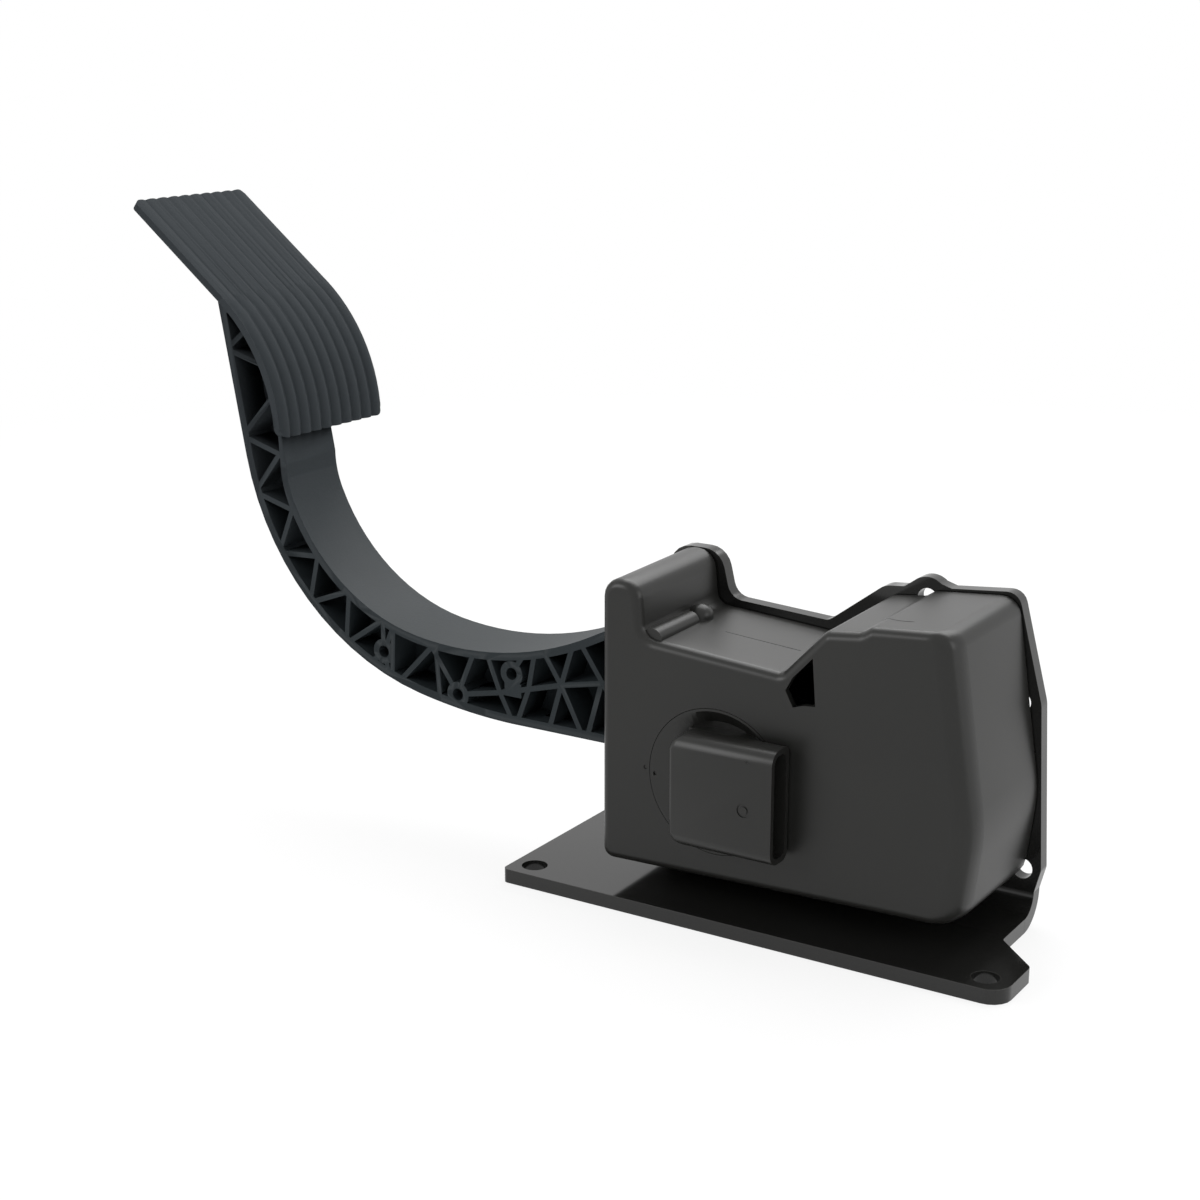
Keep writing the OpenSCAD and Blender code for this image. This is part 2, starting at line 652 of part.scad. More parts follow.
module bush(y0, y1, flange_y) color(amber) difference() {
    union() {
        disc(pivot, bush_r, y0, y1);
        disc(pivot, flange_r, flange_y, flange_y + bush_flange);
    }
    disc(pivot, pin_r + run, y0 - 2, y1 + 2);
}

module front_bush() bush(hub_front, hub_front + bush_l, hub_front - bush_flange);
module back_bush() bush(hub_back - bush_l, hub_back, hub_back);
module hub_washer() color(zinc)
    tube_disc(pivot, flange_r - 2 * run, pin_r, ring_y + ring_t, washer_back);
module retaining_ring() color(zinc) difference() {
    tube_disc(pivot, ring_r, pin_r - ring_deep, ring_y, ring_y + ring_t);
    translate([pivot_x - ring_slot / 2, ring_y - 1, pivot_z + pin_r / 2])
        cube([ring_slot, ring_t + 2, ring_r]);
}

// Springs, wound as a wire along a helix with closed ends
end_pitch = 1.05;
function rise(t, turns, w, h) = let (p = end_pitch * w)
    w / 2 + (t < 1 ? p * t : t > turns - 1 ? h - w - p * (turns - t)
        : p + (h - w - 2 * p) * (t - 1) / (turns - 2));
module coil(d, w, h, turns, rings, sides) {
    n = round(turns * rings);
    r = (d - w) / 2;
    polyhedron(points = [for (i = [0:n], j = [0:sides - 1])
            let (a = 360 * i / rings, b = 360 * j / sides, q = r + w / 2 * cos(b))
            [q * cos(a), q * sin(a), rise(turns * i / n, turns, w, h) + w / 2 * sin(b)]],
        faces = [
            for (i = [0:n - 1], j = [0:sides - 1]) let (k = (j + 1) % sides, a = i * sides, c = a + sides)
                each [[a + j, a + k, c + j], [a + k, c + k, c + j]],
            [for (j = [sides - 1:-1:0]) j],
            [for (j = [0:sides - 1]) n * sides + j]]);
}

seat_t = 3;
seat_z = pivot_z + seat_h + seat_t;
cap_z = block_in - seat_t;
spring_h = cap_z - seat_z - 2 * run;
boss_r = inner_d / 2 - inner_wire - loose;
boss_h = 5;

module outer_spring() color(zinc) translate([spring_x, arm_mid, seat_z + run])
    coil(outer_d, outer_wire, spring_h, 6.5, 18, 8);
module inner_spring() color(zinc) translate([spring_x, arm_mid, seat_z + run])
    coil(inner_d, inner_wire, spring_h, 8.5, 14, 8);
module spring_seat() color(black) translate([spring_x, arm_mid, seat_z - seat_t]) {
    cylinder(r = outer_d / 2 + plate_rim, h = seat_t);
    cylinder(r = boss_r, h = seat_t + boss_h);
}
module spring_cap() color(black) translate([spring_x, arm_mid, cap_z]) {
    cylinder(r = outer_d / 2 + plate_rim, h = seat_t);
    translate([0, 0, -boss_h]) cylinder(r = boss_r, h = seat_t + boss_h);
}

module wedge(r, a)
    polygon([[0, 0], 1.2 * r * [sin(a), -cos(a)], [0, -1.5 * r], 1.2 * r * [-sin(a), -cos(a)]]);

module friction_shoe() color(amber) intersection() {
    tube_disc(pivot, shoe_r, hub_r + gap, shoe_y - shoe_l / 2, shoe_y + shoe_l / 2);
    at_pivot() slab(shoe_y - shoe_l, shoe_y + shoe_l) wedge(shoe_r, shoe_half);
}
shoe_spring_d = 10.5;
shoe_wire = 1.2;
module friction_spring() color(zinc) translate([pivot_x, shoe_y, floor_z])
    coil(shoe_spring_d, shoe_wire, pivot_z - shoe_r - floor_z, 4, 12, 8);

// Rubber stops
module idle_stop() color("#1c1c1c") disc(stop_at, stop_r, arm_y + stop_inset, arm_back - stop_inset);
module full_travel_stop() color("#1c1c1c") translate([post_x, arm_mid, post_z])
    cylinder(r = post_r, h = press_z - gap - post_z);

// Sensor: the dished face, then the board, the rotor and the lid behind it
floor_y = cover_y + dish;
face_t = 1.8;
body_wall = 2;
board_y = floor_y + face_t;
board_t = 1.6;
rotor_y = board_y + board_t + 2 * loose;
rotor_t = 2;
rotor_r = 15;
body_l = 11;
body_back = cover_y + body_l;
lid_t = 1.4;
dish_rim = 0.8;
dish_slope = 4.4;
// Ring magnet let into the rotor
magnet_r = 13;
magnet_in = 9;
magnet_t = 1.2;
// Tangs that join the rotor to the arm's hub
drive_r = flange_r + 3.1;
drive_in = flange_r + gap;
tang_half = 16.7;
tang_in = 2;
// Connector shroud: its place, its corners, and the mouth with its terminals
plug_x = pivot_x - 10.5;
plug_z = pivot_z - 0.8 - plug_h / 2;
plug_y = cover_y - 0.9 - plug_t;
plug_deep = 20;
plug_in = plug_x + plug_l - plug_deep;
plug_round = 3.6;
plug_corner = 5.5;
mouth_round = 2.2;
neck_in = 0.9;
neck_edge = 1;
neck_l = plug_l - 10;
pin_t = 0.8;
pin_w = 1.5;
pin_l = 14;
pin_root = 4;
pin_span = plug_h - 6;
seal_r = 1.1;
lug_hole_r = 1.6;
lug_head_r = 2.9;
head_t = 2;
screw_head_r = 4;
screw_head_t = 2.6;

module tang() intersection() {
    difference() {
        circle(drive_r);
        circle(drive_in);
    }
    polygon([[0, 0], 2 * drive_r * [1, tan(tang_half)], 2 * drive_r * [1, -tan(tang_half)]]);
}

module pins() for (k = [0:pin_count - 1])
    translate([plug_in - pin_root, plug_y + (plug_t - pin_t) / 2,
               pivot_z - 0.8 + ((k + 0.5) / pin_count - 0.5) * pin_span - pin_w / 2])
        cube([pin_l, pin_t, pin_w]);

module lug(t) difference() {
    union() {
        disc(lug_at(t), lug_end_r, lug_y, lug_y + lug_t);
        at_pivot() rotate([0, -t, 0]) translate([sensor_r - dish_rim, lug_y, -lug_half])
            cube([lug_r - sensor_r + dish_rim, lug_t, 2 * lug_half]);
    }
    disc(lug_at(t), lug_hole_r, lug_y - 1, lug_y + lug_t + 1);
}

module sensor_body() color(black) difference() {
    union() {
        difference() {
            disc(pivot, sensor_r, cover_y, body_back);
            translate([pivot_x, floor_y, pivot_z]) rotate([90, 0, 0])
                cylinder(r1 = sensor_r - dish_rim - dish_slope, r2 = sensor_r - dish_rim, h = dish);
        }
        intersection() {
            disc(pivot, sensor_r - neck_in, plug_y + plug_t - neck_edge, floor_y + face_t / 3);
            translate([plug_x + neck_edge, 0, plug_z + neck_edge])
                cube([neck_l, floor_y + face_t, plug_h - 2 * neck_edge]);
        }
        intersection() {
            translate([plug_x, plug_y, plug_z]) rotate([90, 0, 90]) linear_extrude(plug_l)
                round_rect([plug_t, plug_h], plug_round);
            slab(plug_y - 1, plug_y + plug_t + 1)
                translate([plug_x, plug_z]) round_rect([plug_l + 2 * plug_corner, plug_h], plug_corner);
        }
        for (t = lug_turns) lug(t);
    }
    disc(pivot, sensor_r - body_wall, board_y, body_back + 1);
    translate([plug_in, plug_y + plug_wall, plug_z + plug_wall]) rotate([90, 0, 90])
        linear_extrude(plug_deep + 1)
            round_rect([plug_t - 2 * plug_wall, plug_h - 2 * plug_wall], mouth_round);
    pins();
}
module sensor_lid() color(black) tube_disc(pivot, sensor_r, drive_r + loose, body_back, body_back + lid_t);
module sensor_board() color("#2f5d3a")
    disc(pivot, sensor_r - body_wall - gap, board_y, board_y + board_t);
module magnet_ring(y0, y1) tube_disc(pivot, magnet_r, magnet_in, y0, y1);
module sensor_rotor() color(amber) difference() {
    union() {
        disc(pivot, rotor_r, rotor_y, rotor_y + rotor_t);
        disc(pivot, drive_r, rotor_y, pin_front - loose);
        for (t = [0, 180]) at_pivot() rotate([0, t, 0]) slab(pin_front - 1, hub_front + tang_in) tang();
    }
    magnet_ring(rotor_y - 1, rotor_y + magnet_t);
}
module rotor_magnet() color("#55565a") magnet_ring(rotor_y, rotor_y + magnet_t);
module connector_terminals() color(zinc) pins();
module sensor_seal() color("#1c1c1c") translate([pivot_x, front_in + seal_r, pivot_z]) rotate([90, 0, 0])
    rotate_extrude() translate([sensor_r + seal_r, 0]) circle(seal_r, $fn = 24);
module sensor_screws() color(zinc) for (t = lug_turns) {
    disc(lug_at(t), lug_screw_r, lug_y - lug_screw_in, lug_y + lug_t + drill);
    disc(lug_at(t), lug_head_r, lug_y + lug_t, lug_y + lug_t + head_t);
}
module cover_screws() color(zinc) for (at = screw_places) {
    disc(at, screw_r, cover_back - screw_in, upright_back + 1);
    disc(at, screw_head_r, upright_back, upright_back + screw_head_t);
}

place() mounting_bracket();
place() housing_cover();
place() pedal_arm();
place() pivot_pin();
place() front_bush();
place() back_bush();
place() hub_washer();
place() retaining_ring();
place() outer_spring();
place() inner_spring();
place() spring_seat();
place() spring_cap();
place() friction_shoe();
place() friction_spring();
place() idle_stop();
place() full_travel_stop();
place() sensor_body();
place() sensor_lid();
place() sensor_board();
place() sensor_rotor();
place() rotor_magnet();
place() connector_terminals();
place() sensor_seal();
place() sensor_screws();
place() cover_screws();
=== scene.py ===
from math import atan2, cos, pi, radians, sin

import bpy
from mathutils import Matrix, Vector


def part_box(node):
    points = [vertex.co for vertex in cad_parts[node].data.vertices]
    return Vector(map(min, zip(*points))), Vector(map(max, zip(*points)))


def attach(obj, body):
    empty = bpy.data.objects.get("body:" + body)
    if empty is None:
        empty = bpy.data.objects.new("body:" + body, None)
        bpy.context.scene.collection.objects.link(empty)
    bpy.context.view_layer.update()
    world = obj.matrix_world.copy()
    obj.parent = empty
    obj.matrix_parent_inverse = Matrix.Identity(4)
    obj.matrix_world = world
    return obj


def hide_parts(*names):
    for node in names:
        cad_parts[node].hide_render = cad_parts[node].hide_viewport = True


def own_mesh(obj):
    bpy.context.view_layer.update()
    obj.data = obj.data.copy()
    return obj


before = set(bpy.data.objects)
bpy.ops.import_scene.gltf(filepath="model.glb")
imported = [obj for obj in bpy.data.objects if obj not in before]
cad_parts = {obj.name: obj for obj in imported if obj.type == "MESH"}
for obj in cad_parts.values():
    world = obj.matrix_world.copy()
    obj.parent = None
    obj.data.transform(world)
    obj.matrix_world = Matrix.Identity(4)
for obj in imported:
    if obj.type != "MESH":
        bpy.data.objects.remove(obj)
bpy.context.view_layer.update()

mm = 0.001


# Camera
# It stands as the photographer's did: a little above the pedal, and turned to the right of the
# plate's long side. Its tilt below level and its turn are in degrees.
camera_place = (307.6 * mm, -574.4 * mm, 291.8 * mm)
camera_tilt = 15.45
camera_turn = 32.36
lens = 64.84
film_width = 36.0
nearest_seen = 0.01
bpy.ops.object.camera_add(location=camera_place,
                          rotation=(radians(90 - camera_tilt), 0, radians(camera_turn)))
camera = bpy.context.object
camera.name = "camera"
camera.data.lens = lens
camera.data.sensor_width = film_width
camera.data.clip_start = nearest_seen
bpy.context.scene.camera = camera


# Floor, light tent and lamps
# The pedal stands on a white sheet inside a light tent. Seen straight, in paint or in glass, the
# sheet and the tent are white, and the sheet still takes a faint shadow.
floor_white = "#f4f4f4"
white = "#ffffff"
sheet_size = 12.0
sheet_drop = 0.02 * mm
tent_light = 0.6
# How much of the floor's shadow shows near the pedal, and where it fades out, in metres from it
shadow_share = 0.18
shadow_reach = (0.35, 1.0)
# Each lamp is a soft box: its place in metres, its size and its power. They all look at the cover
soft_boxes = {
    "top_box": ((-0.15, 0.8, 1.35), 1.4, 23.0),
    "right_box": ((1.3, 0.1, 0.5), 0.8, 4.5),
    "left_box": ((-0.9, -1.0, 0.7), 0.7, 7.0),
}
lamps_look_at = Vector((0, 0.03, 0.08))


def linear(colour):
    """An sRGB hex colour as linear red, green, blue and alpha."""
    parts = [int(colour[i:i + 2], 16) / 255 for i in (1, 3, 5)]
    return [c / 12.92 if c <= 0.04045 else ((c + 0.055) / 1.055) ** 2.4 for c in parts] + [1.0]


def add_node(tree, kind, settings=None, links=None):
    """A shader node, with its properties or inputs set by name and its inputs linked to outputs."""
    made = tree.nodes.new(kind)
    for key, value in (settings or {}).items():
        if isinstance(key, str) and hasattr(made, key):
            setattr(made, key, value)
        else:
            made.inputs[key].default_value = value
    for key, output in (links or {}).items():
        tree.links.new(output, made.inputs[key])
    return made


def seen_directly(tree):
    """1 for rays from the camera, from a reflection or through glass, and 0 for light."""
    path = add_node(tree, "ShaderNodeLightPath")
    either = add_node(tree, "ShaderNodeMath", {"operation": "MAXIMUM"},
                      {0: path.outputs["Is Camera Ray"], 1: path.outputs["Is Transmission Ray"]})
    return add_node(tree, "ShaderNodeMath", {"operation": "MAXIMUM"},
                    {0: either.outputs[0], 1: path.outputs["Is Glossy Ray"]}).outputs[0]


world = bpy.context.scene.world or bpy.data.worlds.new("light_tent")
bpy.context.scene.world = world
world.use_nodes = True
tent = world.node_tree
tent.nodes.clear()
tent_dim = add_node(tent, "ShaderNodeBackground", {"Strength": tent_light, "Color": linear(white)})
tent_seen = add_node(tent, "ShaderNodeBackground", {"Strength": 1.0, "Color": linear(white)})
tent_mix = add_node(tent, "ShaderNodeMixShader", {},
                    {0: seen_directly(tent), 1: tent_dim.outputs[0], 2: tent_seen.outputs[0]})
add_node(tent, "ShaderNodeOutputWorld", {}, {"Surface": tent_mix.outputs[0]})

bpy.ops.object.select_all(action="DESELECT")
bpy.ops.mesh.primitive_plane_add(size=sheet_size, location=(0, 0, -sheet_drop))
sheet = bpy.context.object
sheet.name = "floor_sheet"
paper = bpy.data.materials.new("white_paper_sheet")
paper.use_nodes = True
tree = paper.node_tree
tree.nodes.clear()
matt = add_node(tree, "ShaderNodeBsdfDiffuse", {"Color": linear(floor_white)})
glow = add_node(tree, "ShaderNodeEmission", {"Color": linear(white), "Strength": 1.0})
spot = add_node(tree, "ShaderNodeTexCoord").outputs["Object"]
away = add_node(tree, "ShaderNodeVectorMath", {"operation": "LENGTH"}, {0: spot}).outputs["Value"]
plain = add_node(tree, "ShaderNodeMapRange",
                 {"From Min": shadow_reach[0], "From Max": shadow_reach[1],
                  "To Min": 1 - shadow_share},
                 {"Value": away})
share = add_node(tree, "ShaderNodeMath", {"operation": "MULTIPLY"},
                 {0: seen_directly(tree), 1: plain.outputs[0]})
paper_mix = add_node(tree, "ShaderNodeMixShader", {},
                     {0: share.outputs[0], 1: matt.outputs[0], 2: glow.outputs[0]})
add_node(tree, "ShaderNodeOutputMaterial", {}, {"Surface": paper_mix.outputs[0]})
sheet.data.materials.append(paper)

for name, (place, size, power) in soft_boxes.items():
    bpy.ops.object.light_add(type="AREA", location=place)
    lamp = bpy.context.object
    lamp.name = name
    lamp.data.size = size
    lamp.data.energy = power
    lamp.rotation_euler = (lamps_look_at - Vector(place)).to_track_quat("-Z", "Y").to_euler()


# Steel bracket
# One blank of 5 mm sheet steel, punched, folded up along its back and painted gloss black, so it
# mirrors what stands on it. The paint is thin and a little grey along the sheared edges.
sheet_edge = 0.5 * mm
# The two ends of the ear's foot: place along X, its corner's height, and the height of the top edge
# there. Then how near to a corner its points lie, and how close points merge once they are moved
ear_foot = [(27.0 * mm, 110.9 * mm, 108.26 * mm), (43.6 * mm, 110.9 * mm, 109.83 * mm)]
ear_reach = 0.05 * mm
ear_merge = 0.03 * mm
# In a copy of a CAD mesh, points this close merge, and so do faces as flat as this to each other
triangle_gap = 0.004 * mm
flat_angle = radians(0.5)
# Edges sharper than this angle are rounded, in this many steps
edge_angle = radians(32)
edge_steps = 2
# The paint's colour, its colour where it is thin, and how far in from an edge that is
bracket_paint = "#1c1c1b"
bracket_thin = "#2e2e2c"
thin_reach = 0.7 * mm
# The paint's orange peel and its haze, from crest to crest
peel_size = 4 * mm
haze_size = 30 * mm


def pick(piece):
    """Selects one piece alone and makes it the active one."""
    bpy.ops.object.select_all(action="DESELECT")
    piece.select_set(True)
    bpy.context.view_layer.objects.active = piece


def open_mesh(piece):
    """Picks a piece and opens its mesh in edit mode, with all of it selected."""
    pick(piece)
    bpy.ops.object.mode_set(mode="EDIT")
    bpy.ops.mesh.select_all(action="SELECT")


def close_mesh():
    """Leaves edit mode."""
    bpy.ops.object.mode_set(mode="OBJECT")


def clean_copy(node, name):
    """A copy of a CAD node with its loose triangles merged into clean faces."""
    copy = bpy.data.objects.new(name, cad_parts[node].data.copy())
    copy.data.name = name
    copy.data.materials.clear()
    bpy.context.scene.collection.objects.link(copy)
    open_mesh(copy)
    bpy.ops.mesh.remove_doubles(threshold=triangle_gap)
    bpy.ops.mesh.dissolve_limited(angle_limit=flat_angle)
    close_mesh()
    return copy


def round_edges(piece, width, smooth=40, level_faces=True):
    """Rounds a piece's sharp edges, shades its curved faces smooth and keeps large ones even."""
    pick(piece)
    bevel = piece.modifiers.new("edge_radius", "BEVEL")
    bevel.width = width
    bevel.segments = edge_steps
    bevel.limit_method = "ANGLE"
    bevel.angle_limit = edge_angle
    bpy.ops.object.modifier_apply(modifier=bevel.name)
    bpy.ops.object.shade_smooth_by_angle(angle=radians(smooth))
    if level_faces:
        level = piece.modifiers.new("level_faces", "WEIGHTED_NORMAL")
        level.keep_sharp = True
        bpy.ops.object.modifier_apply(modifier=level.name)


def finish_material(name, settings):
    """Starts a material: returns it, its nodes, its one shader and the piece's own coordinates."""
    made = bpy.data.materials.new(name)
    made.use_nodes = True
    tree = made.node_tree
    tree.nodes.clear()
    shader = add_node(tree, "ShaderNodeBsdfPrincipled", settings)
    add_node(tree, "ShaderNodeOutputMaterial", {}, {"Surface": shader.outputs[0]})
    return made, tree, shader, add_node(tree, "ShaderNodeTexCoord").outputs["Object"]


def put_on(piece, material, body):
    """Gives a piece its material and the body that it rides on."""
    piece.data.materials.clear()
    piece.data.materials.append(material)
    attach(piece, body)


# Gloss paint: a smooth film with slight orange peel, a little haze, and thin edges
paint, tree, shader, place = finish_material("gloss_black_paint",
                                             {"IOR": 1.5, "Specular IOR Level": 0.4})
peel = add_node(tree, "ShaderNodeTexNoise", {"Scale": 1 / peel_size, "Detail": 2.0},
                {"Vector": place}).outputs[0]
haze = add_node(tree, "ShaderNodeTexNoise", {"Scale": 1 / haze_size, "Detail": 3.0},
                {"Vector": place}).outputs[0]
flat = add_node(tree, "ShaderNodeNewGeometry").outputs["Normal"]
rounded = add_node(tree, "ShaderNodeBevel", {"samples": 6, "Radius": thin_reach}).outputs[0]
same = add_node(tree, "ShaderNodeVectorMath", {"operation": "DOT_PRODUCT"}, {0: flat, 1: rounded})
worn = add_node(tree, "ShaderNodeMapRange", {"From Min": 0.99, "From Max": 0.86},
                {"Value": same.outputs["Value"]})
tone = add_node(tree, "ShaderNodeMix",
                {"data_type": "RGBA", "A": linear(bracket_paint), "B": linear(bracket_thin)},
                {0: worn.outputs[0]})
tree.links.new(tone.outputs["Result"], shader.inputs["Base Color"])
gloss = add_node(tree, "ShaderNodeMapRange", {"To Min": 0.07, "To Max": 0.14}, {"Value": haze})
tree.links.new(gloss.outputs[0], shader.inputs["Roughness"])
skin = add_node(tree, "ShaderNodeBump", {"Strength": 0.08, "Distance": 0.05 * mm}, {"Height": peel})
tree.links.new(skin.outputs[0], shader.inputs["Normal"])

bracket = clean_copy("mounting_bracket", "folded_bracket")
for v in bracket.data.vertices:
    for x, high, edge in ear_foot:
        if abs(v.co.x - x) < ear_reach and abs(v.co.z - high) < ear_reach:
            v.co.z = edge
open_mesh(bracket)
bpy.ops.mesh.remove_doubles(threshold=ear_merge)
close_mesh()
round_edges(bracket, sheet_edge)
put_on(bracket, paint, "housing")
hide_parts("mounting_bracket")


# Moulded cover
# One injection moulding in black glass-filled nylon, with a fine spark-eroded skin. It closes the
# mechanism in against the upright and is screwed on from behind.
cover_edge = 0.35 * mm
cover_front = 3.0 * mm
# The roof's step: where along X and in which two sections along Y its surface is looked for, how
# near to them, above which height, its slope, and how far it runs on
roof_span = (24.5 * mm, 44 * mm)
roof_sections = (11.2 * mm, 53.2 * mm)
roof_reach = 0.06 * mm
roof_low = 104.6 * mm
roof_slope = 0.09
roof_run = 12 * mm
# What stands out is cut away from just above that surface to well above the roof
roof_lift = 0.06 * mm
roof_room = 8 * mm
# The line where two of the mould's cores meet on the saddle: its ends along X in mm, its place
# along Y, its width, its depth, how far its cutter stands out, and a height above the whole cover
parting_x = (-25, 3)
parting_y = 28 * mm
parting_width = 0.35 * mm
parting_depth = 0.2 * mm
parting_lift = 1 * mm
over_cover = 200 * mm
# A small round mark that the mould leaves in the front face: its place, radius, depth and sides
cover_mark = (-40.4 * mm, 48.3 * mm)
mark_radius = 0.8 * mm
mark_depth = 0.3 * mm
mark_sides = 32
# The nylon's two colours, then its spark-eroded skin and its flow in the mould, from crest to
# crest. The real skin is finer than 0.1 mm, and is drawn this coarse so that it shows
nylon_tones = ("#1b1b1a", "#21211f")
spark_size = 0.5 * mm
flow_size = 45 * mm

# Moulded nylon: black with a soft sheen, a hardly seen grain, and gloss that varies with the flow
nylon, tree, shader, place = finish_material("moulded_black_nylon",
                                             {"IOR": 1.46, "Specular IOR Level": 0.36})
spark = add_node(tree, "ShaderNodeTexNoise", {"Scale": 1 / spark_size, "Detail": 3.0},
                 {"Vector": place}).outputs[0]
flow = add_node(tree, "ShaderNodeTexNoise", {"Scale": 1 / flow_size, "Detail": 2.0},
                {"Vector": place}).outputs[0]
tone = add_node(tree, "ShaderNodeMix",
                {"data_type": "RGBA", "A": linear(nylon_tones[0]), "B": linear(nylon_tones[1])},
                {0: flow})
tree.links.new(tone.outputs["Result"], shader.inputs["Base Color"])
gloss = add_node(tree, "ShaderNodeMapRange", {"To Min": 0.3, "To Max": 0.38}, {"Value": flow})
tree.links.new(gloss.outputs[0], shader.inputs["Roughness"])
skin = add_node(tree, "ShaderNodeBump", {"Strength": 0.25, "Distance": 0.04 * mm},
                {"Height": spark})
tree.links.new(skin.outputs[0], shader.inputs["Normal"])


def cut_out(piece, cutter):
    """Takes the cutter out of the piece, and removes the cutter."""
    cut = piece.modifiers.new("cut", "BOOLEAN")
    cut.operation = "DIFFERENCE"
    cut.object = cutter
    cut.solver = "EXACT"
    bpy.context.view_layer.objects.active = piece
    bpy.ops.object.modifier_apply(modifier=cut.name)
    bpy.data.objects.remove(cutter)


def solid(name, corners, faces):
    """A closed solid from its corners and faces."""
    mesh = bpy.data.meshes.new(name)
    mesh.from_pydata(corners, [], faces)
    made = bpy.data.objects.new(name, mesh)
    bpy.context.scene.collection.objects.link(made)
    open_mesh(made)
    bpy.ops.mesh.normals_make_consistent(inside=False)
    close_mesh()
    return made


def press_in(piece, x, z, face_y, radius, depth, core=0.0):
    """Presses a round mark, with an island of radius core, into a face that looks along -Y."""
    bpy.ops.object.select_all(action="DESELECT")
    bpy.ops.mesh.primitive_cylinder_add(vertices=mark_sides, radius=radius, depth=2 * depth,
                                        location=(x, face_y, z), rotation=(pi / 2, 0, 0))
    cutter = bpy.context.object
    if core:
        bpy.ops.mesh.primitive_cylinder_add(vertices=mark_sides, radius=core, depth=4 * depth,
                                            location=(x, face_y, z), rotation=(pi / 2, 0, 0))
        cut_out(cutter, bpy.context.object)
    cut_out(piece, cutter)


def dress_roof(piece):
    """Trims what stands out of the roof's step, down to the surface between the two sections."""
    sections = []
    for y in roof_sections:
        points = sorted({(round(v.co.x, 6), round(v.co.z, 6)) for v in piece.data.vertices
                         if abs(v.co.y - y) < roof_reach and roof_span[0] < v.co.x < roof_span[1]
                         and v.co.z > roof_low + roof_slope * (v.co.x - roof_span[0])})
        end_x, end_z = points[-1]
        sections.append(points + [(end_x + roof_run, end_z + roof_slope * roof_run)])
    count = min(len(section) for section in sections)
    corners, faces = [], []
    for section, y in zip(sections, roof_sections):
        corners += [(x, y, z + roof_lift) for x, z in section[-count:]]
        corners += [(x, y, z + roof_room) for x, z in section[-count:]]
    for a in range(count - 1):
        b, c, d = a + count, a + 2 * count, a + 3 * count
        faces += [(a, a + 1, c + 1, c), (b, d, d + 1, b + 1),
                  (a, b, b + 1, a + 1), (c, c + 1, d + 1, d)]
    last = count - 1
    faces += [(0, 2 * count, 3 * count, count),
              (last, last + count, last + 3 * count, last + 2 * count)]
    cut_out(piece, solid("roof_trimmer", corners, faces))


def score_saddle(piece):
    """Scores the mould's parting line along X into the saddle's top, in steps of a millimetre."""
    bpy.context.view_layer.update()
    corners, faces = [], []
    half = parting_width / 2
    for x in range(parting_x[0], parting_x[1] + 1):
        top = piece.ray_cast(Vector((x * mm, parting_y, over_cover)), Vector((0, 0, -1)))[1]
        for dy, dz in ((-half, -parting_depth), (half, -parting_depth),
                       (half, parting_lift), (-half, parting_lift)):
            corners.append((x * mm, parting_y + dy, top.z + dz))
    count = len(corners)
    for a in range(0, count - 4, 4):
        faces += [(a + i, a + (i + 1) % 4, a + 4 + (i + 1) % 4, a + 4 + i) for i in range(4)]
    faces += [(0, 1, 2, 3), (count - 4, count - 3, count - 2, count - 1)]
    cut_out(piece, solid("parting_scorer", corners, faces))


cover = clean_copy("housing_cover", "moulded_cover")
dress_roof(cover)
score_saddle(cover)
press_in(cover, *cover_mark, cover_front, mark_radius, mark_depth)
round_edges(cover, cover_edge)
put_on(cover, nylon, "housing")
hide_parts("housing_cover")


# Pedal arm with its foot pad
# One injection moulding in dark grey glass-filled nylon: two curved flanges with a truss of thin
# ribs on each side of a middle web, and a grooved pad that fades into the arm.
arm_edge = 0.3 * mm
# The foot pad's curve: its axis, the radius at the ribs' feet and the ribs' height, then the turns
# at which the flat part starts and the ribs start to sink
pad_axis = Vector((-265.9 * mm, 0, 138.2 * mm))
pad_base = 65.3 * mm
pad_rib = 1.1 * mm
pad_turn = radians(51.7)
pad_soft_from = radians(18)
# The pad's ends along Y, the share of the ribs' height that is left on the flat part, the small
# step where that part starts, and how close points merge once the step is closed
pad_span = (11.9 * mm, 71.1 * mm)
pad_keep = 0.45
pad_step = 0.05 * mm
pad_merge = 0.03 * mm
# The nylon's colours, its paler one on the pad, and the heights between which it gets paler
arm_tones = ("#24292b", "#2c3134")
pad_tone = "#313538"
pale_from = 80 * mm
pale_to = 150 * mm
# Its stipple and the clouds in its colour, from crest to crest. The real stipple is finer, and is
# drawn this coarse so that it shows
stipple_size = 1.1 * mm
cloud_size = 22 * mm

# Filled nylon: darker and smoother by the pivot, and paler, duller and more stippled on the pad
filled_nylon, tree, shader, place = finish_material("moulded_grey_nylon",
                                                    {"IOR": 1.46, "Specular IOR Level": 0.1})
stipple = add_node(tree, "ShaderNodeTexNoise",
                   {"Scale": 1 / stipple_size, "Detail": 4.0, "Roughness": 0.7},
                   {"Vector": place}).outputs[0]
clouds = add_node(tree, "ShaderNodeTexNoise", {"Scale": 1 / cloud_size, "Detail": 4.0},
                  {"Vector": place}).outputs[0]
tone = add_node(tree, "ShaderNodeMix",
                {"data_type": "RGBA", "A": linear(arm_tones[0]), "B": linear(arm_tones[1])},
                {0: clouds})
height = add_node(tree, "ShaderNodeSeparateXYZ", {}, {0: place}).outputs["Z"]
up = add_node(tree, "ShaderNodeMapRange", {"From Min": pale_from, "From Max": pale_to},
              {"Value": height}).outputs[0]
paler = add_node(tree, "ShaderNodeMix", {"data_type": "RGBA", "B": linear(pad_tone)},
                 {"A": tone.outputs["Result"], 0: up})
tree.links.new(paler.outputs["Result"], shader.inputs["Base Color"])
gloss = add_node(tree, "ShaderNodeMapRange", {"To Min": 0.4, "To Max": 0.85}, {"Value": up})
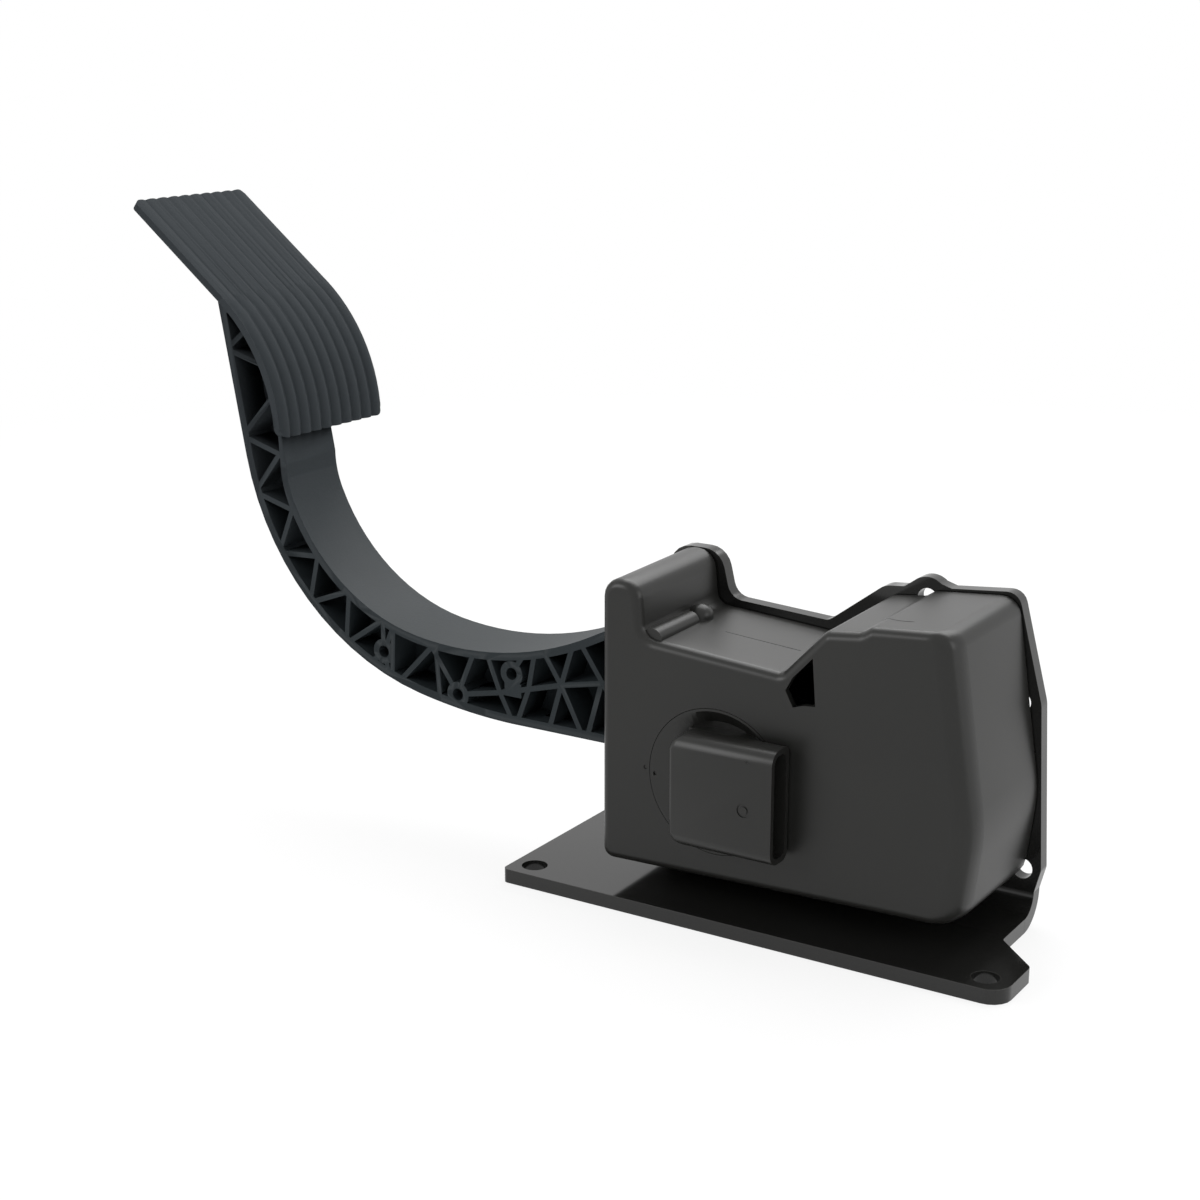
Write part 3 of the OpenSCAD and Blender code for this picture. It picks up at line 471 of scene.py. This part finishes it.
tree.links.new(gloss.outputs[0], shader.inputs["Roughness"])
depth = add_node(tree, "ShaderNodeMapRange", {"To Min": 0.35, "To Max": 0.9}, {"Value": up})
skin = add_node(tree, "ShaderNodeBump", {"Distance": 0.12 * mm},
                {"Height": stipple, "Strength": depth.outputs[0]})
tree.links.new(skin.outputs[0], shader.inputs["Normal"])


def soften_ribs(piece):
    """Lets the pad's ribs sink towards its flat part, and closes the step where that starts."""
    out = Vector((cos(pad_turn), 0, sin(pad_turn)))
    for v in piece.data.vertices:
        if not pad_span[0] < v.co.y < pad_span[1]:
            continue
        arm_out = Vector((v.co.x - pad_axis.x, 0, v.co.z - pad_axis.z))
        turn = atan2(arm_out.z, arm_out.x)
        flat_part = turn > pad_turn
        way = out if flat_part else arm_out.normalized()
        step = pad_step if flat_part else 0
        relief = arm_out.dot(way) + step - pad_base
        if -pad_step < relief < pad_rib + pad_step and turn > pad_soft_from:
            share = 1 if flat_part else (turn - pad_soft_from) / (pad_turn - pad_soft_from)
            v.co += way * (step - max(relief, 0) * (1 - pad_keep) * share)
    open_mesh(piece)
    bpy.ops.mesh.remove_doubles(threshold=pad_merge)
    close_mesh()


arm = clean_copy("pedal_arm", "truss_arm")
soften_ribs(arm)
round_edges(arm, arm_edge, smooth=20, level_faces=False)
put_on(arm, filled_nylon, "arm")
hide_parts("pedal_arm")


# Sensor body with its connector
# One moulding in black nylon: a dished round body with a rectangular shroud across it, whose mouth
# takes the harness plug. It is screwed into the cover from behind.
sensor_edge = 0.3 * mm
# The pedal's pivot, which the sensor's disc goes round
pivot_at = Vector((-14 * mm, 0, 48 * mm))
# The dished face runs out towards its left side, where only a hair line shows round it: its reach,
# its rim and its floor along Y, and how near to the rim still counts as on it
dish_radius = 24.3 * mm
dish_rim = 3.0 * mm
dish_floor = 7.05 * mm
rim_skin = 0.02 * mm
# It runs out between these places along X, to this share of its depth
dish_run = (-28 * mm, -17 * mm)
dish_least = 0.03
# A mould mark in the disc: its place, radius and depth
disc_mark = (-36.8 * mm, 46.8 * mm)
disc_mark_radius = 0.7 * mm
disc_mark_depth = 0.5 * mm
# The shroud is drawn anew: its ends along X, Y and Z, its wall and its mouth's floor, in mm
shroud_x = (-24.5, 13.0)
shroud_y = (-9.5, 2.12)
shroud_z = (28.0, 66.4)
shroud_wall = 1.9
mouth_from = -7.0
# The radii of its edges in mm: along its front and its back, and round its blind end at the front,
# at the back and at the two corners. Then the mouth's own, and the steps that round an edge
front_radius = 4.8
back_radius = 3.0
blind_front_radius = 1.5
blind_back_radius = 0.6
corner_radius = 5.5
mouth_radius = front_radius - shroud_wall
corner_steps = 8
# An edge within this many mm of a face counts as on it
near_face = 1.0
# The room for it in the sensor body is wider by this gap, starts at this place well in front and
# ends this far short of its back. The mouth's cutter runs on this far. All in mm
room_gap = 0.02
room_front = -40
room_skin = 0.01
mouth_past = 5
# Mould marks in its front face: place along X, height, radius, depth and island, in mm
shroud_marks = [(3.1, 45.7, 2.3, 0.35, 1.3), (4.2, 62.3, 0.5, 0.2, 0.0)]


def boxed(name, x, y, z, radii):
    """A box in mm whose edges are rounded: radii gives a radius for an edge's middle, in mm."""
    bpy.ops.object.select_all(action="DESELECT")
    bpy.ops.mesh.primitive_cube_add(size=1.0)
    made = bpy.context.object
    made.name = name
    made.data.name = name
    for v in made.data.vertices:
        v.co = Vector([(span[0] if c < 0 else span[1]) * mm for c, span in zip(v.co, (x, y, z))])
    ends = [[made.data.vertices[i].co for i in edge.vertices] for edge in made.data.edges]
    wanted = [radii((a + b) / 2 / mm) for a, b in ends]
    widest = max(wanted)
    if not widest:
        return made
    weights = made.data.attributes.new("bevel_weight_edge", "FLOAT", "EDGE")
    for weight, radius in zip(weights.data, wanted):
        weight.value = radius / widest
    bevel = made.modifiers.new("edge_radii", "BEVEL")
    bevel.width = widest * mm
    bevel.segments = corner_steps
    bevel.limit_method = "WEIGHT"
    bevel.use_clamp_overlap = False
    bpy.ops.object.modifier_apply(modifier=bevel.name)
    return made


def shroud_radii(p):
    """The shroud's edge radius at an edge's middle. Round the mouth its edges are square."""
    front = p.y < shroud_y[0] + near_face
    back = p.y > shroud_y[1] - near_face
    if p.x > shroud_x[1] - near_face:
        return 0.0
    if p.x < shroud_x[0] + near_face:
        return blind_front_radius if front else blind_back_radius if back else corner_radius
    return front_radius if front else back_radius


def mouth_radii(p):
    """The mouth's edge radius at an edge's middle. Only its long edges are rounded."""
    return mouth_radius if mouth_from + near_face < p.x < shroud_x[1] + near_face else 0.0


sensor = clean_copy("sensor_body", "sensor_housing")
open_mesh(sensor)
for x in dish_run:
    bpy.ops.mesh.bisect(plane_co=(x, 0, 0), plane_no=(1, 0, 0))
    bpy.ops.mesh.select_all(action="SELECT")
close_mesh()
for v in sensor.data.vertices:
    from_axis = Vector((v.co.x - pivot_at.x, v.co.z - pivot_at.z)).length
    if from_axis < dish_radius and dish_rim + rim_skin < v.co.y < dish_floor:
        share = min(max((v.co.x - dish_run[0]) / (dish_run[1] - dish_run[0]), 0), 1)
        v.co.y = dish_rim + (v.co.y - dish_rim) * (dish_least + (1 - dish_least) * share)
cut_out(sensor, boxed("shroud_room", (shroud_x[0] - room_gap, shroud_x[1] + room_gap),
                      (room_front, shroud_y[1] - room_skin),
                      (shroud_z[0] - room_gap, shroud_z[1] + room_gap), lambda p: 0.0))
press_in(sensor, *disc_mark, dish_rim, disc_mark_radius, disc_mark_depth)
round_edges(sensor, sensor_edge)
put_on(sensor, nylon, "housing")
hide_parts("sensor_body")

shroud = boxed("connector_shroud", shroud_x, shroud_y, shroud_z, shroud_radii)
cut_out(shroud, boxed("shroud_mouth", (mouth_from, shroud_x[1] + mouth_past),
                      (shroud_y[0] + shroud_wall, shroud_y[1] - shroud_wall),
                      (shroud_z[0] + shroud_wall, shroud_z[1] - shroud_wall), mouth_radii))
for x, z, radius, depth, island in shroud_marks:
    press_in(shroud, x * mm, z * mm, shroud_y[0] * mm, radius * mm, depth * mm, island * mm)
pick(shroud)
bpy.ops.object.shade_smooth_by_angle(angle=radians(35))
put_on(shroud, nylon, "housing")
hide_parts("sensor_body")


# Pivot pin
# A turned steel pin, zinc plated, pushed through the upright from behind and riveted there into a
# low domed head. A groove near its front end takes the retaining ring.
pin_radius = 6 * mm
pin_chamfer = 0.6 * mm
groove_depth = 1 * mm
# The riveted head: its radius, its height over the upright, and how far its face domes
rivet_radius = 10 * mm
rivet_height = 3.5 * mm
rivet_dome = 1.6 * mm
pin_low, pin_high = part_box("pivot_pin")
ring_low, ring_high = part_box("retaining_ring")
# A turned part's steps round its axis, and how close the points of its seam merge
turn_steps = 72
seam_gap = 0.002 * mm


def turned(name, outline, axis_at):
    """A part turned on the lathe: (radius, place along Y) points spun about an axis."""
    mesh = bpy.data.meshes.new(name)
    mesh.from_pydata([(axis_at.x + r, y, axis_at.z) for r, y in outline],
                     [(i, i + 1) for i in range(len(outline) - 1)], [])
    made = bpy.data.objects.new(name, mesh)
    bpy.context.scene.collection.objects.link(made)
    open_mesh(made)
    bpy.ops.mesh.spin(steps=turn_steps, angle=2 * pi, center=(axis_at.x, 0, axis_at.z),
                      axis=(0, 1, 0))
    bpy.ops.mesh.select_all(action="SELECT")
    bpy.ops.mesh.remove_doubles(threshold=seam_gap)
    bpy.ops.mesh.normals_make_consistent(inside=False)
    close_mesh()
    bpy.ops.object.shade_smooth_by_angle(angle=radians(30))
    return made


def grained(name, colour, settings, size, depth, darkest=0.85):
    """A material with a grain of its own, drawn coarse so that it shows: tool marks or a skin."""
    made, tree, shader, place = finish_material(name, settings)
    grain = add_node(tree, "ShaderNodeTexNoise", {"Scale": 1 / size, "Detail": 3.0},
                     {"Vector": place}).outputs[0]
    dark = [c * darkest for c in linear(colour)[:3]] + [1.0]
    tone = add_node(tree, "ShaderNodeMix", {"data_type": "RGBA", "A": dark, "B": linear(colour)},
                    {0: grain})
    tree.links.new(tone.outputs["Result"], shader.inputs["Base Color"])
    skin = add_node(tree, "ShaderNodeBump", {"Strength": 0.3, "Distance": depth}, {"Height": grain})
    tree.links.new(skin.outputs[0], shader.inputs["Normal"])
    return made


# Bright zinc plating on turned steel: pale, with fine tool marks
zinc = grained("zinc_plated_steel", "#c3c6c9", {"Metallic": 1.0, "Roughness": 0.32},
               0.8 * mm, 0.02 * mm, darkest=0.8)
rivet_seat = pin_high.y - rivet_height
dome = [(rivet_radius * cos(radians(turn)), pin_high.y - rivet_dome * (1 - sin(radians(turn))))
        for turn in range(0, 91, 15)]
pin = turned("riveted_pin", [
    (0, pin_low.y), (pin_radius - pin_chamfer, pin_low.y), (pin_radius, pin_low.y + pin_chamfer),
    (pin_radius, ring_low.y), (pin_radius - groove_depth, ring_low.y),
    (pin_radius - groove_depth, ring_high.y), (pin_radius, ring_high.y),
    (pin_radius, rivet_seat), (rivet_radius, rivet_seat)] + dome, pivot_at)
put_on(pin, zinc, "housing")
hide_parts("pivot_pin")


# Return springs
# Two compression springs of round steel wire, one inside the other, wound with closed ends. They
# stand between the seat on the arm's rear lever and the cap under the cover's roof.

# Oiled spring wire: grey drawn steel with a soft gloss
wire = grained("oiled_spring_wire", "#8d8f92", {"Metallic": 1.0, "Roughness": 0.28},
               0.5 * mm, 0.01 * mm, darkest=0.8)
# Each spring: its CAD node, its name, its wire's radius and its turns
springs = [("outer_spring", "outer_coil", 1.3 * mm, 6.5),
           ("inner_spring", "inner_coil", 0.9 * mm, 8.5)]
# How far a closed end turn climbs, in wire radii, and the steps that make a turn
end_climb = 2.1
coil_steps = 32


def coil_spring(node, name, wire_radius, turns):
    """A round-wire spring on the axis of a CAD node, as a curve made into a mesh."""
    low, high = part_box(node)
    middle = (low + high) / 2
    radius = (high.x - low.x) / 2 - wire_radius
    end_top = 1 + end_climb
    pitch_room = high.z - low.z - 2 * wire_radius * end_top
    curve = bpy.data.curves.new(name, "CURVE")
    curve.dimensions = "3D"
    curve.bevel_depth = wire_radius
    curve.bevel_resolution = 4
    curve.use_fill_caps = True
    steps = int(turns * coil_steps)
    line = curve.splines.new("POLY")
    line.points.add(steps)
    for i, point in enumerate(line.points):
        t = turns * i / steps
        if t < 1:
            z = low.z + wire_radius + end_climb * wire_radius * t
        elif t > turns - 1:
            z = high.z - wire_radius - end_climb * wire_radius * (turns - t)
        else:
            z = low.z + end_top * wire_radius + pitch_room * (t - 1) / (turns - 2)
        angle = 2 * pi * t
        point.co = (middle.x + radius * cos(angle), middle.y + radius * sin(angle), z, 1)
    made = bpy.data.objects.new(name, curve)
    bpy.context.scene.collection.objects.link(made)
    pick(made)
    bpy.ops.object.convert(target="MESH")
    made = bpy.context.object
    bpy.ops.object.shade_smooth_by_angle(angle=radians(50))
    return made


for node, name, wire_radius, turns in springs:
    coil = coil_spring(node, name, wire_radius, turns)
    low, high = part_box(node)
    put_on(coil, wire, "housing")
    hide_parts(node)
    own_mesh(coil)


# Cover screws
# Four pan-head screws of zinc-plated steel with a six-lobe recess, driven through the upright from
# behind into the cover's bosses.
head_radius = 4 * mm
head_height = 2.6 * mm
shank_radius = 1.9 * mm
# The head's rim: radius and height over the head's seat, in mm. Then the tip's taper and its length
head_rim = [(4.0, 1.0), (3.7, 1.9), (2.9, 2.45)]
tip_taper = 0.5 * mm
tip_length = 0.9 * mm
# The recess: its six lobes' reach from the axis, at their tips and between them, and its depth
lobes = 6
lobe_outer = 2.1 * mm
lobe_inner = 1.55 * mm
lobe_sides = 24
recess_depth = 1.6 * mm
# The screws' places along X and their heights, in mm
screw_spots = [(-51.5, 18.5), (59, 25), (59, 103), (-29, 84)]
screw_low, screw_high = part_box("cover_screws")


def pan_screw(name, x, z, head_back, tip):
    """One screw: a turned blank with a domed head, and a six-lobe recess cut into it."""
    seat = head_back - head_height
    shank = [(0, tip), (shank_radius - tip_taper, tip), (shank_radius, tip + tip_length),
             (shank_radius, seat), (head_radius, seat)]
    rim = [(radius * mm, seat + high * mm) for radius, high in head_rim]
    blank = turned(name, shank + rim + [(0, head_back)], Vector((x, 0, z)))
    bpy.ops.object.select_all(action="DESELECT")
    bpy.ops.mesh.primitive_cylinder_add(vertices=lobe_sides, radius=lobe_outer,
                                        depth=2 * recess_depth, location=(x, head_back, z),
                                        rotation=(pi / 2, 0, 0))
    cutter = bpy.context.object
    bpy.ops.object.transform_apply(location=True, rotation=True, scale=True)
    for v in cutter.data.vertices:
        across = Vector((v.co.x - x, v.co.z - z))
        turn = across.angle_signed(Vector((1, 0)))
        reach = lobe_inner + (lobe_outer - lobe_inner) * (0.5 + 0.5 * cos(lobes * turn))
        v.co.x = x + across.x / lobe_outer * reach
        v.co.z = z + across.y / lobe_outer * reach
    cut_out(blank, cutter)
    return blank


four_screws = [pan_screw("cover_screw", x * mm, z * mm, screw_high.y, screw_low.y)
               for x, z in screw_spots]
bpy.ops.object.select_all(action="DESELECT")
for screw in four_screws:
    screw.select_set(True)
bpy.context.view_layer.objects.active = four_screws[0]
bpy.ops.object.join()
screws = bpy.context.object
screws.name = "lobe_screws"
bpy.ops.object.shade_smooth_by_angle(angle=radians(30))
put_on(screws, zinc, "housing")
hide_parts("cover_screws")


# Pieces that stay as the frame gives them
# The steel washer and ring on the pin, the acetal bushes and friction shoe, the nylon seat and cap
# of the springs, the rubber stops and what lies inside the sensor. They are out of sight, so they
# stay plain.

# Acetal is cream white and a little waxy, rubber black and dull, coated laminate green and glossy,
# sintered ferrite dark and rough, and tinned brass pale and bright
acetal = grained("natural_acetal", "#d9cfb8", {"Roughness": 0.42, "IOR": 1.48}, 1.0 * mm, 0.02 * mm)
rubber = grained("moulded_rubber", "#1a1a1a", {"Roughness": 0.8, "IOR": 1.5}, 0.6 * mm, 0.05 * mm)
laminate = grained("coated_laminate", "#1f5a34", {"Roughness": 0.25, "IOR": 1.55},
                   2.0 * mm, 0.02 * mm)
ferrite = grained("sintered_ferrite", "#4a4b4e", {"Metallic": 0.6, "Roughness": 0.6},
                  0.4 * mm, 0.04 * mm)
tin = grained("tin_plated_brass", "#cfccc0", {"Metallic": 1.0, "Roughness": 0.25},
              0.6 * mm, 0.01 * mm)
kept = {
    "hub_washer": zinc, "retaining_ring": wire, "front_bush": acetal, "back_bush": acetal,
    "friction_shoe": acetal, "friction_spring": wire, "spring_seat": nylon, "spring_cap": nylon,
    "idle_stop": rubber, "full_travel_stop": rubber, "sensor_lid": nylon, "sensor_board": laminate,
    "sensor_rotor": acetal, "rotor_magnet": ferrite, "connector_terminals": tin,
    "sensor_seal": rubber, "sensor_screws": zinc,
}
for node, material in kept.items():
    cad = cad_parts[node]
    cad.data.materials.clear()
    cad.data.materials.append(material)


# The photo's background is plain white, so the tones are shown as they are
bpy.context.scene.view_settings.view_transform = "Standard"
bpy.context.view_layer.update()
